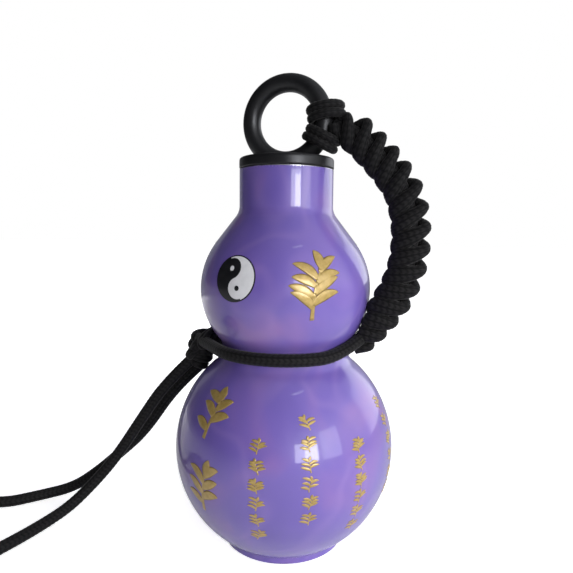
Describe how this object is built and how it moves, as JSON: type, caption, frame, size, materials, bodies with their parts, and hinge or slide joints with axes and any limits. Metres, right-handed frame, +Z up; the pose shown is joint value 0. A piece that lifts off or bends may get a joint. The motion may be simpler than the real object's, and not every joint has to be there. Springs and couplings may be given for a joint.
{
  "type": "gourd water bottle",
  "caption": "Gourd-shaped double-walled water bottle with a screw-in stopper, a carrying ring, a knotted cord strap and a long shoulder cord.",
  "frame": {"origin": "centre of the base, on the surface that the bottle stands on", "axes": "+Z up along the bottle's axis; +X towards the knotted strap, in the plane of the carrying ring; +Y to the back"},
  "size_m": [0.2806, 0.1774, 0.2302],
  "materials": {
    "lacquer": "gloss purple lacquer with faint clouds",
    "bare_steel": "drawn stainless steel",
    "solder": "solder bead",
    "pad_rubber": "matt rubber pad",
    "getter_metal": "dull sintered metal",
    "dark_print": "black print",
    "light_print": "white print",
    "cap_plastic": "satin black moulded plastic",
    "plug_plastic": "moulded plastic",
    "foam": "insulating foam",
    "silicone": "translucent silicone",
    "cord": "black braided cord"
  },
  "bodies": {
    "flask": {"outer_shell_top": "lacquer", "outer_shell_waist": "lacquer", "outer_shell_bottom": "lacquer", "base_plate": "bare_steel", "vacuum_plug": "solder", "base_pad": "pad_rubber", "inner_flask_top": "bare_steel", "inner_flask_middle": "bare_steel", "inner_flask_bottom": "bare_steel", "getter": "getter_metal", "disc_dark": "dark_print", "disc_light": "light_print"},
    "harness": {"knotted_strap": "cord", "waist_cord_front": "cord", "waist_cord_back": "cord", "side_knot": "cord", "shoulder_cord_leg_a": "cord", "shoulder_cord_leg_b": "cord", "shoulder_cord_coil": "cord"},
    "cap": {"cap_top": "cap_plastic", "cap_plug": "plug_plastic", "cap_foam": "foam", "cap_seal": "silicone", "ring_hitch": "cord"}
  },
  "joints": [
    {"name": "cap_turn", "type": "hinge", "parent": "flask", "child": "harness", "pos_m": [0, 0, 0.0984], "axis": [0, 0, 1], "range_deg": [0, 720]},
    {"name": "cap_climb", "type": "slide", "parent": "harness", "child": "cap", "axis": [0, 0, 1], "range_m": [0, 0.00801]}
  ],
  "couplings": [
    {"joint": "cap_climb", "follows": "cap_turn", "m_per_rad": 0.00063662}
  ]
}
